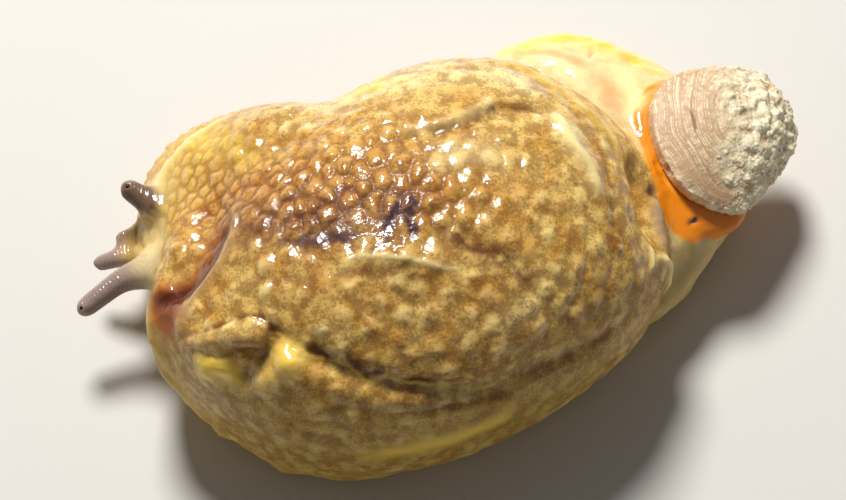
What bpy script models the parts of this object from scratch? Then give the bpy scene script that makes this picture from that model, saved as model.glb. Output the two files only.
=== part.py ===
"""A shelled slug, drawn together and resting on its sole, with its small shell on the tip of its tail.

Lengths here are millimetres and angles are degrees, and each finished node is scaled to metres.
The head points along -X and the tail along +X, the slug's left side is -Y, and its sole lies at z = 0.
An angle round the body starts at the top of the back: +90 is the left flank and -90 the right one.
"""

import math

import bmesh
import bpy
import numpy as np
from mathutils import Matrix, Vector

METRES_PER_MM = 0.001

# Points nearer to one another than this are one point, and edges sharper than this stay sharp.
MERGE_DISTANCE = 0.0002
SHARP_ANGLE = 50

# The gap that parts two nodes, the foot's thickness, how much fuller it is than the flesh above it,
# and how far its edge stands out, with the size and length of the edge's ripples.
GAP = 0.3
FOOT_TOP = 1.5
FOOT_SPREAD = 1.1
FOOT_FRINGE = 0.12
FOOT_RIPPLE = 0.1
FOOT_RIPPLE_LENGTH = 2.6

# The three masses of flesh. Each is a row of upright sections from its first x to its last, and its
# other values are read smoothly through their own few numbers. blunt is how full the two ends are,
# and rings and spokes are how finely it is divided along its length and round it.
TORSO = {
    "x": (-13.6, 12.4),
    "y": (-2.8, -1.5, 0.5, 1.8, 2.0),
    "z": (6.0, 6.5, 6.6, 6.4, 6.0),
    "half_width": (4.0, 8.5, 10.5, 9.8, 7.5),
    "rise": (5.6, 7.0, 7.6, 7.2, 6.0),
    "drop": (7.0, 7.2, 7.4, 7.2, 7.0),
    "blunt": 2.6,
    "rings": 46,
    "spokes": 76,
}
HEAD = {
    "x": (-14.8, -3.2),
    "y": (4.4, 4.9, 4.7, 4.6),
    "z": (3.6, 4.4, 5.4, 6.0),
    "half_width": (5.0, 4.9, 4.8, 4.6),
    "rise": (3.2, 4.3, 5.7, 6.4),
    "drop": (3.8, 5.0, 6.4, 7.2),
    "blunt": 2.8,
    "rings": 24,
    "spokes": 44,
}
TAIL = {
    "x": (2.2, 17.2),
    "y": (7.2, 7.6, 7.0, 8.2),
    "z": (4.0, 4.0, 3.8, 3.2),
    "half_width": (9.0, 8.4, 7.5, 3.8),
    "rise": (4.0, 4.0, 3.4, 2.2),
    "drop": (4.6, 4.6, 4.4, 3.6),
    "blunt": 2.6,
    "rings": 28,
    "spokes": 48,
}
FULLNESS_ABOVE = 2.1
FULLNESS_BELOW = 2.8

# Folds of the skin. Each follows a few (share of the length, angle round) places on its mass. It is
# raised by its height, or sunk where that is below zero, and fades out over its width. It starts and
# ends at a share of its height, and reaches its full height after a share of its length.
TORSO_FOLDS = {
    "left_groove": {
        "places": ((0.25, 33), (0.37, 47), (0.48, 57), (0.60, 64), (0.74, 66), (0.90, 63)),
        "height": -0.45,
        "width": 0.7,
    },
    "right_groove": {
        "places": ((0.44, -12), (0.56, -15), (0.69, -21), (0.80, -29)),
        "height": -0.3,
        "width": 0.7,
    },
    "back_ridge": {
        "places": ((0.37, 19), (0.43, 17), (0.50, 21), (0.59, 26)),
        "height": 0.25,
        "width": 0.5,
    },
    "shoulder_fold": {
        "places": ((0.08, 52), (0.14, 42), (0.21, 38), (0.25, 37)),
        "height": 0.55,
        "width": 0.9,
    },
    "shoulder_crease": {
        "places": ((0.15, 61), (0.20, 53), (0.25, 43), (0.27, 34)),
        "height": -0.5,
        "width": 0.55,
    },
    "front_bump": {
        "places": ((0.11, 66), (0.16, 62)),
        "height": 0.4,
        "width": 0.8,
    },
    "middle_bump": {
        "places": ((0.27, 48), (0.31, 50)),
        "height": 0.35,
        "width": 0.7,
    },
    "front_lobe": {
        "places": ((0.03, -10), (0.06, 18), (0.09, 35)),
        "height": 0.35,
        "width": 1.0,
    },
    "rear_ridge": {
        "places": ((0.77, -24), (0.80, -14), (0.83, -3)),
        "height": 0.2,
        "width": 0.6,
    },
    "rear_crease": {
        "places": ((0.93, 8), (0.955, 35), (0.965, 65)),
        "height": -0.3,
        "width": 0.5,
    },
}
FOLD_STEPS = 80
FOLD_END_HEIGHT = 0.25
FOLD_RUN_IN = 0.2

# Where the neck is parted from the head: a place on the cut and the way that the head lies from it.
NECK_CUT = (-10.4, 5.0, 5.0)
NECK_CUT_FACING = (-1.0, -0.15, 0.0)

# The mouth is a slit across the front of the head, between the lower feelers, with a lip above and
# below it. Both are tubes along the same line, which the slit cuts and the lips add.
MOUTH_LINE = ((-14.45, 1.9, 2.25), (-14.72, 2.8, 2.5), (-14.75, 3.7, 2.5), (-14.7, 4.6, 2.25))
MOUTH_WIDTHS = (0.15, 0.3, 0.3, 0.15)
LIP_WIDTHS = (0.2, 0.52, 0.52, 0.2)
LIP_FROM_MOUTH = 0.25

# The shell lies on its own sloping plane. Its reach is read at evenly spaced bearings round its
# middle, counted from its hind end towards the slug's right side.
SHELL_PLACE = (15.4, 7.8, 6.4)
SHELL_HEADING = 20
SHELL_SLOPE = 20
SHELL_ROLL = 12
SHELL_REACH = (4.9, 5.4, 4.7, 4.2, 4.3, 4.4, 4.2, 4.2, 4.0, 4.0, 3.5, 3.8)
SHELL_PEAK = (1.6, 0.5)
SHELL_DOME = 1.7
SHELL_DOME_POWER = 2.2
SHELL_THICKNESS = 0.5
SHELL_STEPS = 5
SHELL_STEP_HEIGHT = 0.1
SHELL_RINGS = 16
SHELL_SPOKES = 40

# The mantle is a cushion under the shell. Its rim stands out past the shell by these amounts, at
# the same bearings as the shell's reach.
MANTLE_RIM = (-1.0, -1.0, -0.6, 0.1, 0.3, 0.3, 0.3, 0.5, 1.1, 0.7, -0.4, -0.8)
MANTLE_DEPTH = 2.5
# It clears the shell's hollow by this much. Its rings are shares of the way from the shell's peak to
# its outline: those of its top, the ring that its side starts from, and the ring of its underside.
MANTLE_CLEARANCE = 0.35
MANTLE_TOP = (0.2, 0.4, 0.6, 0.8, 0.97)
MANTLE_SIDE_START = 0.98
MANTLE_UNDER = 0.3
# Its side, from the edge of the shell down: how much of the rim stands out, and then how far in
# and how far down the side has come.
MANTLE_SIDE = (
    (0.7, 0.0, 0.1),
    (1.0, 0.0, 0.35),
    (1.0, 0.05, 0.65),
    (1.0, 0.4, 1.0),
    (1.0, 1.6, 1.4),
)

# The feelers, each along a few centres from inside the head to its tip, with its widths there.
FEELERS = {
    "upper_feeler_left": {
        "path": (
            (-12.2, 1.2, 5.0),
            (-13.8, 0.8, 5.1),
            (-15.2, 0.5, 4.8),
            (-16.4, -0.2, 4.3),
            (-17.5, -0.9, 3.8),
        ),
        "widths": (1.9, 1.7, 1.15, 1.0, 0.95),
    },
    "upper_feeler_right": {
        "path": ((-12.6, 3.3, 5.6), (-13.5, 3.8, 6.2), (-14.4, 4.3, 6.6), (-15.3, 4.9, 6.9)),
        "widths": (1.5, 1.25, 1.05, 1.05),
    },
    "lower_feeler_left": {
        "path": ((-13.8, 2.2, 4.2), (-15.0, 2.4, 3.8), (-16.1, 2.5, 3.3), (-17.0, 2.5, 2.8)),
        "widths": (1.1, 0.95, 0.8, 0.75),
    },
    "lower_feeler_right": {
        "path": ((-13.9, 3.5, 4.3), (-14.7, 3.5, 4.2), (-15.3, 3.5, 4.0), (-15.8, 3.45, 3.8)),
        "widths": (0.9, 0.75, 0.65, 0.7),
    },
}
TUBE_RINGS = 14
TUBE_SPOKES = 14
# A tube's rings crowd towards its rounded tip by this power, and its end stands out this far.
TUBE_CROWDING = 1.3
TUBE_END = 0.02

# An eye is a bead let into an upper feeler near its tip. Its middle lies this far back from the tip,
# and under the skin by a share of its radius, on the side that it faces.
EYE_RADIUS = 0.25
EYE_GAP = 0.12
EYE_BACK = 0.4
EYE_SUNK = 0.45
BALL_DIVISIONS = 2
EYE_FACING = {
    "left": (-0.3, -0.5, 0.8),
    "right": (-0.6, 0.2, 0.8),
}

MATERIALS = {
    "body_skin": ((0.52, 0.36, 0.14), 0.3),
    "head_skin": ((0.66, 0.50, 0.20), 0.3),
    "foot_skin": ((0.62, 0.52, 0.18), 0.35),
    "mantle_skin": ((0.72, 0.30, 0.03), 0.3),
    "feeler_skin": ((0.38, 0.27, 0.24), 0.3),
    "eye_bead": ((0.01, 0.01, 0.01), 0.1),
    "shell_plate": ((0.48, 0.38, 0.29), 0.7),
}


def read_along(values, share):
    """The smooth curve through evenly spaced values, read at shares of the way from 0 to 1."""
    values = np.asarray(values, float)
    before_first = 2 * values[0] - values[1]
    after_last = 2 * values[-1] - values[-2]
    values = np.concatenate([[before_first], values, [after_last]])
    last = len(values) - 3
    place = np.clip(np.asarray(share, float) * last, 0, last)
    index = np.minimum(place.astype(int), last - 1)
    part = place - index
    if values.ndim > 1:
        part = part[..., None]
    before, start, end, after = (values[index + k] for k in range(4))
    return 0.5 * (
        2 * start
        + (end - before) * part
        + (2 * before - 5 * start + 4 * end - after) * part**2
        + (3 * start - before - 3 * end + after) * part**3
    )


def read_round(values, bearing):
    """The smooth closed curve through values at evenly spaced bearings, read at bearings in degrees."""
    count = len(values)
    share = (np.asarray(bearing, float) % 360) / 360
    wrapped = list(values[-2:]) + list(values) + list(values[:2])
    return read_along(wrapped, (share * count + 2) / (count + 3))


def signed_power(value, power):
    return np.sign(value) * np.abs(value) ** power


def on_flesh(mass, share, angle):
    """The points of a mass at these shares of its length and angles round it."""
    share = np.asarray(share, float)
    angle = np.radians(np.asarray(angle, float))
    sine = np.sin(angle)
    cosine = np.cos(angle)
    closing = (1 - np.abs(2 * share - 1) ** mass["blunt"]) ** (1 / mass["blunt"])
    fullness = np.where(cosine > 0, FULLNESS_ABOVE, FULLNESS_BELOW)
    height = np.where(cosine > 0, read_along(mass["rise"], share), read_along(mass["drop"], share))
    first, last = mass["x"]
    x = first + (last - first) * share
    side = closing * read_along(mass["half_width"], share) * signed_power(sine, 2 / fullness)
    up = closing * height * signed_power(cosine, 2 / fullness)
    y = read_along(mass["y"], share) - side
    z = read_along(mass["z"], share) + up
    return np.stack(np.broadcast_arrays(x, y, z), axis=-1)


def fold_heights(points, mass, folds):
    """How far the folds raise each of these points of a mass."""
    total = np.zeros(len(points))
    step = np.linspace(0, 1, FOLD_STEPS)
    run_in = np.minimum(step, 1 - step) / FOLD_RUN_IN
    fade = np.minimum(1, FOLD_END_HEIGHT + (1 - FOLD_END_HEIGHT) * run_in)
    for fold in folds.values():
        places = read_along(fold["places"], step)
        line = on_flesh(mass, places[:, 0], places[:, 1])
        apart = np.linalg.norm(points[:, None] - line[None], axis=-1)
        strength = fade * np.exp(-((apart / fold["width"]) ** 2))
        total += fold["height"] * strength.max(axis=1)
    return total


def loft(rings, first_end, last_end):
    """A closed mesh through rings of points, drawn to a point at each end."""
    mesh = bmesh.new()
    loops = [[mesh.verts.new(point) for point in ring] for ring in rings]
    first = mesh.verts.new(first_end)
    last = mesh.verts.new(last_end)
    count = len(loops[0])
    for k in range(count):
        after = (k + 1) % count
        mesh.faces.new((first, loops[0][after], loops[0][k]))
        mesh.faces.new((last, loops[-1][k], loops[-1][after]))
        for here, there in zip(loops, loops[1:]):
            mesh.faces.new((here[k], here[after], there[after], there[k]))
    bmesh.ops.recalc_face_normals(mesh, faces=mesh.faces)
    mesh.normal_update()
    return mesh


def tube_mesh(line, widths):
    """A tube along a smooth line, with its widths read along it and a rounded last end."""
    shares = 1 - np.linspace(1, 0, TUBE_RINGS) ** TUBE_CROWDING
    path = read_along(line, shares)
    radii = read_along(widths, shares) / 2
    length = np.linalg.norm(np.diff(path, axis=0), axis=1).sum()
    from_end = np.maximum((1 - shares) * length, TUBE_END) / radii
    rounding = np.sqrt(1 - (1 - np.minimum(from_end, 1)) ** 2)
    rings = []
    for k in range(TUBE_RINGS):
        ahead = path[min(k + 1, TUBE_RINGS - 1)]
        behind = path[max(k - 1, 0)]
        along = Vector(ahead - behind).normalized()
        across = along.cross(Vector((0, 0, 1))).normalized()
        upward = across.cross(along)
        ring = []
        for spoke in range(TUBE_SPOKES):
            turn = 2 * math.pi * spoke / TUBE_SPOKES
            out = across * math.cos(turn) + upward * math.sin(turn)
            ring.append(Vector(path[k]) + out * float(radii[k] * rounding[k]))
        rings.append(ring)
    end = Vector(path[-1]) + (Vector(path[-1]) - Vector(path[-2])).normalized() * TUBE_END
    return loft(rings, path[0], end)


def push_out(mesh, amounts):
    """Moves each vertex outwards by its own amount."""
    moves = [vertex.normal * float(amount) for vertex, amount in zip(mesh.verts, amounts)]
    for vertex, move in zip(mesh.verts, moves):
        vertex.co += move
    mesh.normal_update()


def flesh_mesh(mass, grow=0.0, folds=None):
    """A mass as a closed mesh, swollen by grow, with its folds."""
    turn = np.arange(1, mass["rings"] + 1) / (mass["rings"] + 1)
    shares = 0.5 - 0.5 * np.cos(math.pi * turn)
    angles = np.arange(mass["spokes"]) * 360 / mass["spokes"]
    rings = on_flesh(mass, shares[:, None], angles[None, :])
    ends = on_flesh(mass, np.array([0.0, 1.0]), np.zeros(2))
    mesh = loft(rings, ends[0], ends[1])
    points = np.array([vertex.co for vertex in mesh.verts])
    amounts = np.full(len(points), float(grow))
    if folds:
        amounts += fold_heights(points, mass, folds)
    push_out(mesh, amounts)
    return mesh


def keep_side(mesh, point, facing):
    """Cuts a closed mesh by a plane, keeps what lies on the side that it faces, and closes the cut."""
    geometry = list(mesh.verts) + list(mesh.edges) + list(mesh.faces)
    bmesh.ops.bisect_plane(
        mesh, geom=geometry, dist=MERGE_DISTANCE, plane_co=point, plane_no=facing, clear_inner=True
    )
    rim = [edge for edge in mesh.edges if edge.is_boundary]
    bmesh.ops.holes_fill(mesh, edges=rim)
    bmesh.ops.recalc_face_normals(mesh, faces=mesh.faces)
    mesh.normal_update()


def new_object(name, mesh):
    data = bpy.data.meshes.new(name)
    mesh.to_mesh(data)
    mesh.free()
    thing = bpy.data.objects.new(name, data)
    bpy.context.scene.collection.objects.link(thing)
    return thing


def boolean(thing, tool, operation):
    """Applies one Boolean to an object and removes the tool."""
    modifier = thing.modifiers.new(operation, "BOOLEAN")
    modifier.operation = operation
    modifier.solver = "EXACT"
    modifier.object = tool
    bpy.context.view_layer.update()
    graph = bpy.context.evaluated_depsgraph_get()
    result = bpy.data.meshes.new_from_object(thing.evaluated_get(graph))
    thing.modifiers.clear()
    thing.data = result
    bpy.data.objects.remove(tool)


def cut_away(thing, tool_mesh):
    boolean(thing, new_object("cutter", tool_mesh), "DIFFERENCE")


def add_on(thing, tool_mesh):
    boolean(thing, new_object("addition", tool_mesh), "UNION")


def keep_largest(mesh):
    """Keeps only the closed surface with the most faces."""
    left = set(mesh.faces)
    groups = []
    while left:
        group = set()
        waiting = [left.pop()]
        while waiting:
            face = waiting.pop()
            group.add(face)
            for edge in face.edges:
                for other in edge.link_faces:
                    if other in left:
                        left.remove(other)
                        waiting.append(other)
        groups.append(group)
    groups.sort(key=len)
    for group in groups[:-1]:
        bmesh.ops.delete(mesh, geom=list(group), context="FACES")


def make_material(name):
    colour, roughness = MATERIALS[name]
    material = bpy.data.materials.new(name)
    material.use_nodes = True
    shader = material.node_tree.nodes["Principled BSDF"]
    shader.inputs["Base Color"].default_value = (*colour, 1.0)
    shader.inputs["Roughness"].default_value = roughness
    shader.inputs["Metallic"].default_value = 0.0
    material.diffuse_color = (*colour, 1.0)


def finish_node(thing, name, material):
    """Names a node, keeps its one closed body, turns it to metres, and gives it its material."""
    mesh = bmesh.new()
    mesh.from_mesh(thing.data)
    bmesh.ops.remove_doubles(mesh, verts=mesh.verts, dist=MERGE_DISTANCE)
    bmesh.ops.dissolve_degenerate(mesh, edges=mesh.edges, dist=MERGE_DISTANCE)
    keep_largest(mesh)
    bmesh.ops.triangulate(mesh, faces=mesh.faces)
    bmesh.ops.scale(mesh, vec=(METRES_PER_MM,) * 3, verts=mesh.verts)
    bmesh.ops.recalc_face_normals(mesh, faces=mesh.faces)
    data = bpy.data.meshes.new(name)
    mesh.to_mesh(data)
    mesh.free()
    data.shade_smooth()
    data.set_sharp_from_angle(angle=math.radians(SHARP_ANGLE))
    data.materials.append(bpy.data.materials[material])
    thing.data = data
    thing.name = name


def make_foot():
    """The sole and its fringe: a thin slab with the outline of the three masses together."""
    parts = []
    for mass in (TORSO, HEAD, TAIL):
        spread = {**mass, "drop": [FOOT_SPREAD * drop for drop in mass["drop"]]}
        mesh = flesh_mesh(spread)
        points = np.array([vertex.co for vertex in mesh.verts])
        ripple = FOOT_RIPPLE * np.sin(points[:, 0] * 2 * math.pi / FOOT_RIPPLE_LENGTH)
        push_out(mesh, FOOT_FRINGE + ripple)
        keep_side(mesh, (0, 0, 0), (0, 0, 1))
        keep_side(mesh, (0, 0, FOOT_TOP), (0, 0, -1))
        parts.append(mesh)
    foot = new_object("foot", parts[0])
    for mesh in parts[1:]:
        add_on(foot, mesh)
    finish_node(foot, "foot", "foot_skin")


def make_torso():
    mesh = flesh_mesh(TORSO, folds=TORSO_FOLDS)
    keep_side(mesh, (0, 0, FOOT_TOP + GAP), (0, 0, 1))
    finish_node(new_object("torso", mesh), "torso", "body_skin")


def torso_clearance():
    """The torso with its folds, swollen by the gap, which its neighbours are cut by."""
    return flesh_mesh(TORSO, grow=GAP, folds=TORSO_FOLDS)


def add_mouth(head):
    """Adds the lips to the head and cuts the mouth between them."""
    for side in (-1, 1):
        lip_line = np.array(MOUTH_LINE) + (0, 0, side * LIP_FROM_MOUTH)
        add_on(head, tube_mesh(lip_line, LIP_WIDTHS))
    cut_away(head, tube_mesh(MOUTH_LINE, MOUTH_WIDTHS))


def make_head_and_neck():
    for name, side, material in (("head", 1, "head_skin"), ("neck", -1, "body_skin")):
        mesh = flesh_mesh(HEAD)
        keep_side(mesh, (0, 0, FOOT_TOP + GAP), (0, 0, 1))
        facing = Vector(NECK_CUT_FACING).normalized() * side
        keep_side(mesh, Vector(NECK_CUT) + facing * GAP / 2, facing)
        thing = new_object(name, mesh)
        if name == "head":
            add_mouth(thing)
        cut_away(thing, torso_clearance())
        finish_node(thing, name, material)


def shell_frame():
    """Turns the shell's own plane, with its hind end along X, into the slug's frame."""
    heading = Matrix.Rotation(math.radians(SHELL_HEADING), 4, "Z")
    slope = Matrix.Rotation(math.radians(SHELL_SLOPE), 4, "Y")
    roll = Matrix.Rotation(math.radians(SHELL_ROLL), 4, "X")
    return Matrix.Translation(SHELL_PLACE) @ heading @ slope @ roll


def shell_ring(share, height, extra=0.0):
    """One ring of the shell, at a share of the way from its peak to its outline."""
    bearing = np.arange(SHELL_SPOKES) * 360 / SHELL_SPOKES
    reach = read_round(SHELL_REACH, bearing) + extra
    outline = np.stack([reach * np.cos(np.radians(bearing)), reach * np.sin(np.radians(bearing))], axis=-1)
    flat = np.array(SHELL_PEAK) + share * (outline - np.array(SHELL_PEAK))
    return np.column_stack([flat, np.full(SHELL_SPOKES, height)])


def dome_height(share):
    return SHELL_DOME * (1 - share**SHELL_DOME_POWER)


def growth_step(share):
    """The shell's growth steps, each rising gently and ending in a small ledge."""
    return SHELL_STEP_HEIGHT * (1 - (-share * SHELL_STEPS) % 1.0)


def shell_mesh(grow=0.0):
    """The shell's plate: a low dome with growth steps above and a plain hollow below."""
    shares = np.linspace(1 / SHELL_RINGS, 1, SHELL_RINGS)
    rings = [shell_ring(share, dome_height(share) + growth_step(share)) for share in shares]
    rings += [shell_ring(share, dome_height(share) - SHELL_THICKNESS) for share in shares[::-2]]
    top = (*SHELL_PEAK, SHELL_DOME)
    under = (*SHELL_PEAK, SHELL_DOME - SHELL_THICKNESS)
    mesh = loft(rings, top, under)
    if grow:
        push_out(mesh, np.full(len(mesh.verts), grow))
    mesh.transform(shell_frame())
    return mesh


def make_shell():
    finish_node(new_object("shell", shell_mesh()), "shell", "shell_plate")


def mantle_mesh(grow=0.0):
    """The cushion under the shell: its top follows the shell's hollow and its rim stands out past it."""
    rim = read_round(MANTLE_RIM, np.arange(SHELL_SPOKES) * 360 / SHELL_SPOKES)
    clearance = SHELL_THICKNESS + MANTLE_CLEARANCE
    rings = [shell_ring(share, dome_height(share) - clearance) for share in MANTLE_TOP]
    edge_height = dome_height(MANTLE_TOP[-1]) - clearance
    for out, inward, down in MANTLE_SIDE:
        rings.append(shell_ring(MANTLE_SIDE_START, edge_height - down, extra=rim * out - inward))
    rings.append(shell_ring(MANTLE_UNDER, -MANTLE_DEPTH))
    mesh = loft(rings, (*SHELL_PEAK, SHELL_DOME - clearance), (*SHELL_PEAK, -MANTLE_DEPTH))
    if grow:
        push_out(mesh, np.full(len(mesh.verts), grow))
    mesh.transform(shell_frame())
    return mesh


def make_mantle():
    mantle = new_object("mantle", mantle_mesh())
    cut_away(mantle, torso_clearance())
    finish_node(mantle, "mantle", "mantle_skin")


def make_tail():
    mesh = flesh_mesh(TAIL)
    keep_side(mesh, (0, 0, FOOT_TOP + GAP), (0, 0, 1))
    tail = new_object("tail", mesh)
    cut_away(tail, torso_clearance())
    cut_away(tail, mantle_mesh(grow=GAP))
    cut_away(tail, shell_mesh(grow=GAP))
    finish_node(tail, "tail", "head_skin")


def eye_place(side):
    """The centre of an eye bead, on the skin of its feeler near the tip."""
    feeler = FEELERS["upper_feeler_" + side]
    tip = Vector(feeler["path"][-1])
    back = (Vector(feeler["path"][-2]) - tip).normalized()
    facing = Vector(EYE_FACING[side])
    facing = (facing - back * facing.dot(back)).normalized()
    return tip + back * EYE_BACK + facing * (feeler["widths"][-1] / 2 - EYE_RADIUS * EYE_SUNK)


def ball_mesh(centre, radius):
    mesh = bmesh.new()
    place = Matrix.Translation(centre)
    bmesh.ops.create_icosphere(mesh, subdivisions=BALL_DIVISIONS, radius=radius, matrix=place)
    return mesh


def make_feelers():
    for name, feeler in FEELERS.items():
        thing = new_object(name, tube_mesh(feeler["path"], feeler["widths"]))
        if name.startswith("upper"):
            side = name.rsplit("_", 1)[1]
            cut_away(thing, ball_mesh(eye_place(side), EYE_RADIUS + EYE_GAP))
        cut_away(thing, flesh_mesh(HEAD, grow=GAP))
        finish_node(thing, name, "feeler_skin")


def make_eyes():
    for side in EYE_FACING:
        thing = new_object("eye", ball_mesh(eye_place(side), EYE_RADIUS))
        finish_node(thing, "eye_" + side, "eye_bead")


def main():
    for thing in list(bpy.data.objects):
        bpy.data.objects.remove(thing)
    for name in MATERIALS:
        make_material(name)
    make_foot()
    make_torso()
    make_head_and_neck()
    make_tail()
    make_mantle()
    make_shell()
    make_feelers()
    make_eyes()


main()
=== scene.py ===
"""The looks of a shelled slug, drawn together and resting on its sole.

Lengths here are millimetres, and each finished piece is scaled to metres. Settings that a user would
change are in metres, as Blender shows them. The head points along -X and the tail along +X, the slug's
left side is -Y, and its sole lies at z = 0.

One skin is grown over the flesh nodes of the frame. Its folds, tubercles and markings are laid along
named lines and spots, and its material reads them as attributes.
"""

import math

import bmesh
import bpy
import numpy as np
from bpy.props import FloatProperty, FloatVectorProperty, PointerProperty
from mathutils import Euler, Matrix, Vector, kdtree, noise
from mathutils.bvhtree import BVHTree


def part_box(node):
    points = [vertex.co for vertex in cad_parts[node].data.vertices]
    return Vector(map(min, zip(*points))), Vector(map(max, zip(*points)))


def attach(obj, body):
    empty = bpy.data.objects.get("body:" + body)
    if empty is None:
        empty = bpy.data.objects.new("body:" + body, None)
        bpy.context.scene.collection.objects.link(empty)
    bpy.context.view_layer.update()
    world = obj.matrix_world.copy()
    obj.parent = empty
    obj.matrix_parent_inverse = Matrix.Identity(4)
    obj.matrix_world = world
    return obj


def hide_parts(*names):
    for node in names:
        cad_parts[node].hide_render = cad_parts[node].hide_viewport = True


bl_info = {
    "name": "Shelled slug",
    "version": (1, 0, 0),
    "blender": (4, 5, 0),
    "location": "3D View > Sidebar > Slug",
    "description": "Builds the skin, shell and eyes of a shelled slug round its packed frame",
    "category": "Object",
}

MM = 0.001

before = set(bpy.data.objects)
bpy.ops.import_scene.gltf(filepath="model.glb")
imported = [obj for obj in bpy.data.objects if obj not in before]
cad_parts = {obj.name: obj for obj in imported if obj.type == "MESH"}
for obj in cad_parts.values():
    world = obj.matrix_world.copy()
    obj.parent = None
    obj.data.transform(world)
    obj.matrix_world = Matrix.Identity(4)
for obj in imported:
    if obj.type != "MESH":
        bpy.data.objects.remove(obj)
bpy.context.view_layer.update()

# The nodes that the skin stands for. It is grown over the eyes too, which fills their sockets.
FLESH = (
    "foot", "torso", "neck", "head", "tail", "mantle", "upper_feeler_left", "upper_feeler_right",
    "lower_feeler_left", "lower_feeler_right",
)
EYES = ("eye_left", "eye_right")

# Regions of the skin, with the nodes that each is read from, and how far one fades into the next.
REGIONS = {name: (name,) for name in ("torso", "neck", "head", "tail", "foot", "mantle")}
REGIONS["feeler"] = FLESH[-4:]
REGION_FADE = 0.3

# Vertices of a node this close are joined.
WELD = 0.0005

# The skin is grown by this much to close the gaps between its nodes, and then shrunk back. Feelers are
# shrunk and relaxed less than the rest, so that they keep their thickness.
GROW = 0.2
FEELER_SHRINK = 0.1
FEELER_WEIGHT = 0.35

# Rounds of relaxing before and after the shrinking.
RELAX_ROUNDS = 10
SHRUNK_ROUNDS = 3


def mark(*places, width, height=0.0, rungs=0.0, lumps=0.0, **tints):
    """A line or spot on the skin: where it lies, how wide it fades out, and what it does there.

    It is raised by its height, or sunk where that is below zero. Rungs are small ridges across it, this
    far apart, and lumps are soft swellings, this high. Its tints say how much it adds to each mask that
    the skin's material reads.
    """
    numbers = {"width": width, "height": height, "rungs": rungs, "lumps": lumps}
    return {"places": places, "tints": tints, **numbers}


# Where one mass of flesh runs into another without a valley, the skin is grown further by the height
# given here, shrunk back as far, and then relaxed.
VALLEYS = dict(
    head_and_back=mark((-12, 1, 8), (-9, 4, 9.5), (-4.5, 8, 10), width=3, height=1.3),
    neck=mark((-12.6, -0.2, 7.6), (-11.4, 0.6, 8.8), width=2.3, height=1.2),
    tail_and_back=mark((2.5, 11.5, 8.5), (5, 11.5, 8.5), width=2, height=1.2),
)
VALLEY_ROUNDS = 160

# A valley is relaxed from this much further growth, and fully so this much beyond it.
VALLEY_RISE = (0.5, 1.2)

# How many widths a mark reaches, its strength at its ends, and how fast it gains the rest.
MARK_REACH = 2.6
MARK_END = 0.45
MARK_RISE = 4

# How far the marks wander off their lines, in wide bends and in fine ones.
WANDER_WIDE = 0.14
WANDER_FINE = 0.06

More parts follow.
